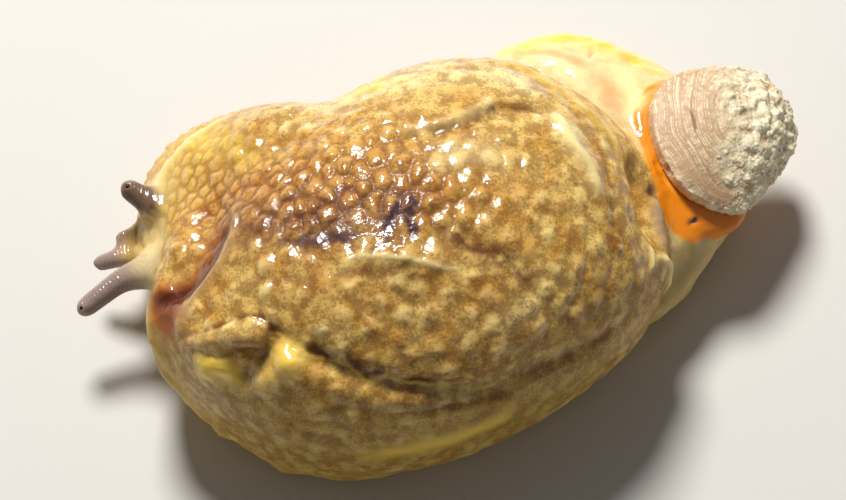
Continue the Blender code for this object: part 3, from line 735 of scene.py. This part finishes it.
def mark_strength(points, line, width):
    """How strongly a mark along this line works on each point, from 0 to 1, and how far along it that is."""
    reach = MARK_REACH * width
    near = np.all((points > line.min(0) - reach) & (points < line.max(0) + reach), axis=1)
    found = points[near]
    strength = np.zeros(len(found))
    distance = np.zeros(len(found))
    count = max(len(line) - 1, 1)
    gone = 0.0
    for k in range(count):
        start, end = line[k], line[min(k + 1, len(line) - 1)]
        along = end - start
        length = max(np.linalg.norm(along), 1e-6)
        share = np.clip(((found - start) @ along) / length**2, 0, 1)
        apart = np.linalg.norm(found - (start + share[:, None] * along), axis=1)
        place = (k + share) / count
        fade = np.clip(MARK_END + MARK_RISE * np.minimum(place, 1 - place), 0, 1) if len(line) > 1 else 1.0
        here = fade * np.exp(-((apart / width) ** 2))
        distance = np.where(here > strength, gone + share * length, distance)
        strength = np.maximum(strength, here)
        gone += length
    out = np.zeros((2, len(points)))
    out[:, near] = strength, distance
    return out


def scatter(points, spacing, generator):
    """Picks points that keep their own spacing from one another."""
    cell = float(spacing.max())
    grid = {}
    picked = []
    keys = np.floor(points / cell).astype(int)
    around = [(i, j, k) for i in (-1, 0, 1) for j in (-1, 0, 1) for k in (-1, 0, 1)]
    for index in generator.permutation(len(points)).tolist():
        x, y, z = keys[index].tolist()
        px, py, pz = points[index].tolist()
        gap = spacing[index] ** 2
        free = True
        for i, j, k in around:
            for qx, qy, qz in grid.get((x + i, y + j, z + k), ()):
                if (px - qx) ** 2 + (py - qy) ** 2 + (pz - qz) ** 2 < gap:
                    free = False
                    break
            if not free:
                break
        if free:
            grid.setdefault((x, y, z), []).append((px, py, pz))
            picked.append(index)
    return picked


def tubercles(mesh, points, beads, head):
    """Stores each vertex's place in its tubercle, and returns how far the tubercles raise it."""
    generator = np.random.default_rng(SEED)
    spacing = mix(mix(LUMP_SPACING, BEAD_SPACING, beads), HEAD_SPACING, head)
    spacing *= 1 + SPACING_SPREAD * noise_at(points, 1.4, 6.6)
    stretched = points * LUMP_STRETCH
    candidates = np.arange(0, len(points), SEED_STEP)
    seeds = candidates[scatter(stretched[candidates], spacing[candidates], generator)]
    tree = kdtree.KDTree(len(seeds))
    for number, seed in enumerate(seeds):
        tree.insert(stretched[seed], number)
    tree.balance()
    wobble = CELL_WOBBLE * drift(points, 0.5, (3.1, 7.7, 11.3))
    inner = np.empty(len(points))
    cell = np.empty(len(points), int)
    for k, place in enumerate((stretched + wobble).tolist()):
        (_, number, near), (_, _, far) = tree.find_n(place, 2)
        inner[k] = (far - near) / (far + near)
        cell[k] = number
    chance = generator.random(len(seeds))[cell]
    round_top = inner * (2 - inner)
    soft_top = inner**2 * (3 - 2 * inner)
    dome = mix(soft_top, round_top, beads)
    height = mix(mix(LUMP_HEIGHT, BEAD_HEIGHT, beads), HEAD_HEIGHT, head)
    store(mesh, "inner", inner)
    store(mesh, "chance", chance)
    # Tops vary from half to one and a half times the height, and the furrows sink by half of it.
    return height * ((0.5 + chance) * dome - 0.5)


def shape_skin(thing, coarse_tree):
    """Lays the marks, tubercles and wrinkles on the skin."""
    mesh = thing.data
    points = read_points(mesh)
    normals = read_normals(mesh)
    masks = {name: np.zeros(len(points)) for name in MASKS}
    raised = np.zeros(len(points))
    wandering = points + WANDER_WIDE * drift(points, 1.3, (0.0, 5.5, 9.9))
    wandering += WANDER_FINE * drift(points, 0.35, (2.2, 6.1, 8.3))
    swelling = noise_at(points, 1.1, 8.8)
    for item in (*MARKS.values(), *AREAS.values()):
        line = smooth_line(item["places"])
        line = np.array([coarse_tree.find_nearest(place)[0] for place in line.tolist()])
        strength, distance = mark_strength(wandering, line, item["width"])
        raised += (item["height"] + item["lumps"] * swelling) * strength
        if item["rungs"]:
            raised += RUNG_HEIGHT * strength * np.cos(2 * math.pi * distance / item["rungs"])
        for name, amount in item["tints"].items():
            masks[name] += amount * strength
    masks["wet"] = ramp(normals[:, 2], *WET_RISE)
    front = np.clip((HEAD_END - points[:, 0]) / HEAD_FADE + 0.5, 0, 1)
    front_flesh = recall(mesh, "head") + recall(mesh, "neck")
    head = front_flesh * front
    body = recall(mesh, "torso") + front_flesh * (1 - front)
    tail = recall(mesh, "tail")
    store(mesh, "head", head)
    store(mesh, "torso", body)
    bare = np.clip(1 - masks["bare"], 0, 1)
    masks["beads"] = np.clip(masks["beads"] * (body + HEAD_BEADS * head) * BEAD_GAIN, 0, 1) * bare
    high = mix(LOW_LUMPS, 1, ramp(points[:, 2], *LUMPS_RISE))
    skinned = np.clip(high * body + head + TAIL_LUMPS * tail, 0, 1) * bare
    height = tubercles(mesh, points, masks["beads"], head) * skinned
    height += SWELL_HEIGHT * noise_at(points, SWELL_SIZE) * body
    height += WRINKLE_HEIGHT * noise_at(points * WRINKLE_STRETCH, WRINKLE_SIZE) * (body + tail)
    low = np.exp(-(((points[:, 2] - SKIRT_MIDDLE) / SKIRT_WIDTH) ** 2))
    height += low * SKIRT_HEIGHT * noise_at(points, SKIRT_SIZE, 4.4)
    for name, values in masks.items():
        store(mesh, name, np.clip(values, 0, MASK_LIMIT))
    points += (raised + height)[:, None] * normals
    write_points(mesh, points)
    relax(mesh, 1, LAST_WEIGHT)
    points = read_points(mesh)
    points[:, 2] = np.maximum(points[:, 2], 0)
    write_points(mesh, points)


# Kinds of shader node: its name, its settings, the inputs that values go to in turn, and the output that
# is read. Results of arithmetic are kept from 0 to 1, apart from the open kinds.
ADD = ("Math", {"operation": "ADD", "use_clamp": True}, (0, 1), 0)
OPEN_ADD = ("Math", {"operation": "ADD"}, (0, 1), 0)
SUBTRACT = ("Math", {"operation": "SUBTRACT", "use_clamp": True}, (0, 1), 0)
MULTIPLY = ("Math", {"operation": "MULTIPLY", "use_clamp": True}, (0, 1), 0)
OPEN_MULTIPLY = ("Math", {"operation": "MULTIPLY"}, (0, 1), 0)
SINE = ("Math", {"operation": "SINE", "use_clamp": True}, (0,), 0)
BLEND = ("Mix", {"data_type": "RGBA"}, (0, 6, 7), 2)
ATTRIBUTE = ("Attribute", {}, (), "Fac")
PLACE = ("TexCoord", {}, (), "Object")
JOIN = ("CombineXYZ", {}, (0, 1, 2), 0)
NOISE = ("TexNoise", {}, ("Vector", "Scale", "Detail"), "Fac")
BUMP = ("Bump", {}, ("Strength", "Distance", "Height"), 0)

# 0 at one value and 1 at another, with a smooth change between and level beyond them.
STEP = ("MapRange", {"interpolation_type": "SMOOTHSTEP"}, (0, 1, 2), 0)


def fill(tree, node, inputs):
    """Sets or links a node's inputs, each given by its name or number."""
    for key, value in inputs.items():
        if isinstance(value, bpy.types.NodeSocket):
            tree.links.new(value, node.inputs[key])
        else:
            node.inputs[key].default_value = value


def add_node(tree, kind, *values, **settings):
    """Adds a shader node of this kind with its settings and links, and returns the output that is read."""
    name, usual, inputs, output = kind
    node = tree.nodes.new("ShaderNode" + name)
    for key, value in {**usual, **settings}.items():
        setattr(node, key, value)
    fill(tree, node, dict(zip(inputs, values)))
    return node.outputs[output]


def new_material(name):
    material = bpy.data.materials.new(name)
    material.use_nodes = True
    tree = material.node_tree
    shader = tree.nodes["Principled BSDF"]
    return material, tree, shader


def times(tree, *factors):
    """The factors multiplied in turn, with each product kept from 0 to 1."""
    product = factors[0]
    for factor in factors[1:]:
        product = add_node(tree, MULTIPLY, product, factor)
    return product


def paint(tree, tones, colour, *layers):
    """Lays tones, given by name, over a colour in turn. Each has a factor, and some a full strength."""
    for factor, tone, *strength in layers:
        share = times(tree, factor, *strength)
        colour = add_node(tree, BLEND, share, colour, (*getattr(tones, tone), 1))
    return colour


def skin_material(settings):
    """Living slug skin under a film of mucus: soft and see-through below, with small sharp highlights."""
    material, tree, shader = new_material("wet_slug_skin")
    place = add_node(tree, PLACE)
    names = (*MASKS, *REGIONS, "inner", "chance", "from_head")
    mask = {name: add_node(tree, ATTRIBUTE, attribute_name=name) for name in names}
    speck = add_node(tree, NOISE, place, 1 / settings.freckle, 2.0)
    smudge = add_node(tree, NOISE, place, 1 / settings.smudge, 5.0)
    cloud = add_node(tree, NOISE, place, 1 / settings.blotch, 3.0)
    bare = add_node(tree, SUBTRACT, 1.0, mask["bare"])
    flesh = add_node(tree, ADD, mask["torso"], times(tree, mask["head"], 0.5))

    # Ground colours, from the widest to the narrowest, with pale tops on some tubercles.
    clouds = add_node(tree, STEP, cloud, 0.65, 0.35)
    colour = add_node(tree, BLEND, clouds, (*settings.tan, 1), (*settings.straw, 1))
    clear = add_node(tree, STEP, smudge, 0.6, 0.35)
    tops = times(tree, add_node(tree, STEP, mask["inner"], 0.1, 0.8), mask["chance"], clear)
    dabs = add_node(tree, STEP, smudge, 0.42, 0.64)
    colour = paint(
        tree, settings, colour,
        (times(tree, dabs, mask["torso"]), "rust", 0.3),
        (tops, "cream", add_node(tree, SUBTRACT, 0.7, mask["beads"])),
        (mask["beads"], "amber_and_crease_shade", 0.45),
        (mask["head"], "butter"),
        (mask["tail"], "ivory"),
        (times(tree, dabs, mask["tail"]), "peach", 0.4),
        (mask["foot"], "lemon", 0.8),
        (mask["olive"], "olive", 0.75),
        # Pale includes painted light on the far side of the back.
        (mask["pale"], "cream", 0.8),
    )

    # Freckles crowd into clouds and round the tubercles, and the furrows between beads get painted shade.
    furrow = add_node(tree, STEP, mask["inner"], 0.45, 0.0)
    crowd = add_node(tree, ADD, times(tree, dabs, 0.2), times(tree, furrow, 0.12))
    freckles = add_node(tree, STEP, add_node(tree, OPEN_ADD, speck, crowd), 0.5, 0.78)
    bead_furrow_shade = times(tree, add_node(tree, STEP, mask["inner"], 0.45, 0.05), mask["beads"])
    colour = paint(
        tree, settings, colour,
        (times(tree, freckles, times(tree, flesh, bare)), "bark", 0.45),
        (bead_furrow_shade, "bark", 0.5),
        (times(tree, add_node(tree, STEP, mask["inner"], 0.3, 0.05), mask["head"], bare), "amber_and_crease_shade", 0.3),
    )

    # Marks, each over the ones before it. Brown along the creases, grooves and folds is painted shade, and
    # the brown clouds are the skin's own.
    uneven = add_node(tree, STEP, smudge, 0.25, 0.6)
    shade = times(tree, mask["brown"], uneven)
    colour = paint(
        tree, settings, colour,
        (shade, "bark"),
        # Orange and red marks are painted shade in the creases and hollows; red also colours the far lower
        # feeler.
        (mask["orange"], "amber_and_crease_shade"),
        (mask["red"], "russet"),
        (mask["peach"], "peach"),
        (add_node(tree, STEP, mask["mantle"], 0.4, 0.7), "orange"),
        (mask["grey"], "mist"),
        (mask["yellow"], "lemon"),
        (mask["lemon"], "lemon"),
        (add_node(tree, STEP, mask["saffron"], 0.3, 0.6), "orange"),
        (times(tree, mask["feeler"], add_node(tree, STEP, mask["from_head"], 0.1, 1.4)), "fawn"),
        # Painted shade darkens the far feeler.
        (mask["smoke"], "smoke"),
        # Plum darkens the back's dark patches, and is painted shade in the hollows, the pore and the bead
        # zone's shaded part.
        (times(tree, mask["plum"], uneven), "plum"),
        # Cream includes a painted highlight on the tail.
        (mask["cream"], "cream"),
    )

    # Pores over the skin, deepest among the beads, and rings round the feelers, sharpest in the film.
    angle = add_node(tree, OPEN_MULTIPLY, mask["from_head"], 2 * math.pi / FEELER_RING)
    rings = times(tree, add_node(tree, SINE, angle), mask["feeler"])
    depth = add_node(tree, ADD, times(tree, mask["beads"], 0.7), 0.35)
    pores = add_node(tree, OPEN_MULTIPLY, add_node(tree, NOISE, place, 1 / PORE, 2.0), depth)
    for socket, share in (("Normal", 0.12), ("Coat Normal", 0.4)):
        height = add_node(tree, OPEN_ADD, pores, times(tree, rings, share))
        fill(tree, shader, {socket: add_node(tree, BUMP, 0.8, PORE_DEPTH, height)})

    # The film lies thick on top, and thin on the flanks, in creases and between beads.
    dry = add_node(tree, ADD, times(tree, bead_furrow_shade, 0.8), times(tree, shade, 0.7))
    film = times(tree, add_node(tree, SUBTRACT, 1.0, dry), settings.film)
    top = add_node(tree, ADD, times(tree, mask["wet"], 0.85), 0.15)
    finish = {
        "Base Color": colour,
        "Roughness": 0.45,
        "Specular IOR Level": 0.2,
        "Subsurface Weight": 0.25,
        "Subsurface Radius": (1.0, 0.5, 0.2),
        "Subsurface Scale": 0.6 * MM,
        "IOR": 1.4,
        "Coat Weight": times(tree, film, top),
        "Coat Roughness": 0.07,
        "Coat IOR": 1.6,
    }
    fill(tree, shader, finish)
    return material


def shell_material(settings):
    """A thin shell plate of lime under a horny skin: dull, with fine growth lines and a chalky crust."""
    material, tree, shader = new_material("horny_shell_plate")
    place = add_node(tree, PLACE)
    crust = add_node(tree, ATTRIBUTE, attribute_name="crust")
    fine = add_node(tree, NOISE, place, 1 / (0.12 * MM), 3.0)
    coarse = add_node(tree, NOISE, place, 1 / (0.3 * MM), 3.0)
    patches = add_node(tree, NOISE, place, 1 / (0.9 * MM), 4.0)
    grown = add_node(tree, ATTRIBUTE, attribute_name="growth")
    growth_line = add_node(tree, OPEN_MULTIPLY, grown, MM)
    along = add_node(tree, JOIN, growth_line, 0.0, 0.0)
    lines = add_node(tree, NOISE, along, 1 / settings.line, 2.0)
    smooth = add_node(tree, SUBTRACT, 1.0, times(tree, crust, 0.8))
    broken = times(tree, add_node(tree, STEP, coarse, 0.35, 0.6), smooth)
    grains = add_node(tree, ATTRIBUTE, attribute_name="grains")
    speck = times(tree, add_node(tree, STEP, fine, 0.52, 0.66), add_node(tree, STEP, grains, 0.1, 0.4))
    colour = paint(
        tree, settings, (*settings.horn, 1),
        (times(tree, add_node(tree, STEP, lines, 0.4, 0.62), broken), "cream", 0.75),
        (times(tree, add_node(tree, STEP, lines, 0.45, 0.3), broken), "bark", 0.5),
        (times(tree, add_node(tree, STEP, patches, 0.3, 0.5), crust), "sand", 0.85),
        (add_node(tree, ATTRIBUTE, attribute_name="band"), "horn"),
        (add_node(tree, ATTRIBUTE, attribute_name="scar"), "bark"),
        (times(tree, add_node(tree, STEP, coarse, 0.46, 0.3), crust), "umber", 0.6),
        (speck, "chalk", 0.9),
    )
    height = add_node(tree, OPEN_ADD, lines, fine)
    relief = add_node(tree, BUMP, 0.6, 0.04 * MM, height)
    fill(tree, shader, {"Base Color": colour, "Normal": relief, "Roughness": 0.55})
    return material


def eye_material():
    """A black eye bead, wet and polished."""
    material, tree, shader = new_material("black_eye")
    fill(tree, shader, {"Base Color": (*linear("#0A0808"), 1), "Roughness": 0.15})
    return material


def finish_piece(thing, material, nodes):
    """Scales a piece to metres, gives it its material, and puts it in the nodes' place."""
    write_points(thing.data, read_points(thing.data) * MM)
    thing.data.materials.clear()
    thing.data.materials.append(material)
    thing.data.shade_smooth()
    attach(thing, "root")
    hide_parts(*nodes)


class SLUG_OT_skin(bpy.types.Operator):
    """Grow the skin over the flesh nodes and lay its markings on it"""

    bl_idname = "slug.skin"
    bl_label = "Build skin"

    def execute(self, context):
        settings = context.scene.slug.skin
        skin = grown_over("slug_skin", FLESH + EYES, self.node_growth, settings.grain / MM)
        points = read_points(skin.data)
        slender = node_distances(points, REGIONS["feeler"]) < 2 * GROW
        relax(skin.data, RELAX_ROUNDS, np.where(slender, FEELER_WEIGHT, 0.5))
        points = read_points(skin.data)
        shrink = np.where(slender, FEELER_SHRINK, growth(points))[:, None]
        points -= shrink * read_normals(skin.data)
        write_points(skin.data, points)
        relax(skin.data, SHRUNK_ROUNDS, np.where(slender, 0.0, 0.5))
        filled = ramp(growth(points) - GROW, *VALLEY_RISE)
        relax(skin.data, VALLEY_ROUNDS, np.where(slender, 0.0, 0.5 * filled))
        store_regions(skin.data)
        points = read_points(skin.data)
        polygons = [polygon.vertices[:] for polygon in skin.data.polygons]
        tree = BVHTree.FromPolygons(points.tolist(), polygons)
        divide(skin)
        shape_skin(skin, tree)
        finish_piece(skin, skin_material(settings), FLESH)
        return {"FINISHED"}

    def node_growth(self, node):
        """The big masses grow further at their valleys, and the slender nodes evenly."""
        if node in ("head", "neck", "torso", "tail"):
            return growth
        return lambda points: np.full(len(points), GROW)


class SLUG_OT_shell(bpy.types.Operator):
    """Build the shell plate with its growth lines and crust"""

    bl_idname = "slug.shell"
    bl_label = "Build shell"

    def execute(self, context):
        settings = context.scene.slug.shell
        shell = grown_over("shell_plate", ("shell",), lambda node: None, settings.grain / MM)
        relax(shell.data, SHELL_ROUNDS)
        mesh = shell.data
        points = read_points(mesh)
        turn = np.array(Euler([math.radians(angle) for angle in SHELL_TURN]).to_matrix())
        flat = (points - SHELL_PLACE) @ turn
        wobble = noise_at(points, 1.5)
        ragged = noise_at(points, 0.6, 2.6)
        rough = noise_at(points, 0.28, 5.3)
        edge = CRUST_EDGE[0] * wobble + CRUST_EDGE[1] * ragged
        worn = ramp(flat[:, 0] - CRUST_SLANT * flat[:, 1] + edge, *CRUST_RISE)
        band, rim, scar = (laid(item, points) for item in SHELL_MARKS)
        worn = np.clip(worn * (1 - 1.2 * band) + 0.8 * rim, 0, 1)
        outer = ramp(flat[:, 0] + 0.5 * (flat[:, 1] + wobble), 0, OUTER_FADE)
        size = settings.crust / MM
        grains = pebbles(points, size, 3.3) + pebbles(points, BIG_GRAIN * size, 1.7)
        grains = np.clip(GRAIN_SHARE * (grains + worn - 1) - GRAIN_SINK, 0, 1)
        from_peak = np.linalg.norm(flat[:, :2] - SHELL_PEAK, axis=1)
        store(mesh, "growth", from_peak + GROWTH_WAVER * wobble + GROWTH_JITTER * ragged)
        store(mesh, "crust", worn)
        store(mesh, "band", np.clip(0.8 * band - rim, 0, 1))
        store(mesh, "scar", scar)
        store(mesh, "grains", grains)
        heights = GRAIN_HEIGHT * grains - CRUST_DEPTH * worn - SCAR_DEPTH * scar
        heights += worn * mix(*CHIP_HEIGHTS, outer) * ragged
        heights += worn * mix(*PIT_HEIGHTS, outer) * rough
        points += heights[:, None] * read_normals(mesh)
        reach = ramp(-flat[:, 0], 0, SHELL_TUCK_REACH)[:, None]
        points += SHELL_TUCK * reach * turn[:, 0]
        write_points(mesh, points)
        finish_piece(shell, shell_material(settings), ("shell",))
        return {"FINISHED"}


class SLUG_OT_eyes(bpy.types.Operator):
    """Set an eye bead near the tip of each upper feeler"""

    bl_idname = "slug.eyes"
    bl_label = "Build eyes"

    def execute(self, context):
        material = eye_material()
        for node in EYES:
            low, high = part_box(node)
            mesh = bmesh.new()
            bmesh.ops.create_uvsphere(mesh, u_segments=32, v_segments=16, radius=EYE_RADIUS)
            bmesh.ops.translate(mesh, vec=(low + high) / 2 / MM, verts=mesh.verts)
            finish_piece(built(node + "_bead", mesh), material, (node,))
        return {"FINISHED"}


class SLUG_OT_stage(bpy.types.Operator):
    """Set up the floor, the light and the camera"""

    bl_idname = "slug.stage"
    bl_label = "Build stage"

    def execute(self, context):
        settings = context.scene.slug.stage
        scene = context.scene
        mesh = bmesh.new()
        bmesh.ops.create_grid(mesh, x_segments=1, y_segments=1, size=FLOOR_SIZE)
        floor = built("floor", mesh)
        material, tree, shader = new_material("pale_matt_board")
        fill(tree, shader, {"Base Color": (*settings.floor, 1), "Roughness": 0.8})
        floor.data.materials.append(material)

        world = bpy.data.worlds.new("studio")
        world.use_nodes = True
        background = world.node_tree.nodes["Background"]
        fill(world.node_tree, background, {"Color": SKY_COLOUR, "Strength": settings.sky})
        scene.world = world

        data = bpy.data.lights.new("key_light", "AREA")
        data.shape = "DISK"
        data.size = KEY_SIZE
        data.energy = settings.key_power
        self.place("key_light", data, KEY_TOWARDS, KEY_DISTANCE)

        data = bpy.data.cameras.new("camera")
        data.lens = 100.0
        data.sensor_width = 36.0
        data.clip_start = 0.01
        back = (0.0, -math.cos(settings.elevation), math.sin(settings.elevation))
        distance = settings.frame_width * data.lens / data.sensor_width
        scene.camera = self.place("camera", data, back, distance)
        scene.view_settings.view_transform = "Standard"
        return {"FINISHED"}

    def place(self, name, data, towards, distance):
        """Sets a light or camera this far from the target, in this direction, and turns it to face it."""
        thing = new_object(name, data)
        towards = Vector(towards).normalized()
        thing.location = Vector(TARGET) * MM + towards * distance
        thing.rotation_euler = towards.to_track_quat("Z", "Y").to_euler()
        return thing


class SLUG_PT_panel(bpy.types.Panel):
    """Buttons and settings for the slug"""

    bl_idname = "SLUG_PT_panel"
    bl_label = "Shelled slug"
    bl_space_type = "VIEW_3D"
    bl_region_type = "UI"
    bl_category = "Slug"

    def draw(self, context):
        settings = context.scene.slug
        for operator, group in OPERATORS.items():
            self.layout.operator(operator.bl_idname)
            if group:
                for name in getattr(settings, group).__annotations__:
                    self.layout.prop(getattr(settings, group), name)


OPERATORS = {SLUG_OT_skin: "skin", SLUG_OT_shell: "shell", SLUG_OT_eyes: None, SLUG_OT_stage: "stage"}
CLASSES = (SlugSkinSettings, SlugShellSettings, SlugStageSettings, SlugSettings, *OPERATORS, SLUG_PT_panel)


def register():
    for cls in CLASSES:
        bpy.utils.register_class(cls)
    bpy.types.Scene.slug = PointerProperty(type=SlugSettings)


def unregister():
    del bpy.types.Scene.slug
    for cls in reversed(CLASSES):
        bpy.utils.unregister_class(cls)


def main():
    register()
    bpy.ops.slug.skin()
    bpy.ops.slug.shell()
    bpy.ops.slug.eyes()
    bpy.ops.slug.stage()


if __name__ == "__main__":
    main()
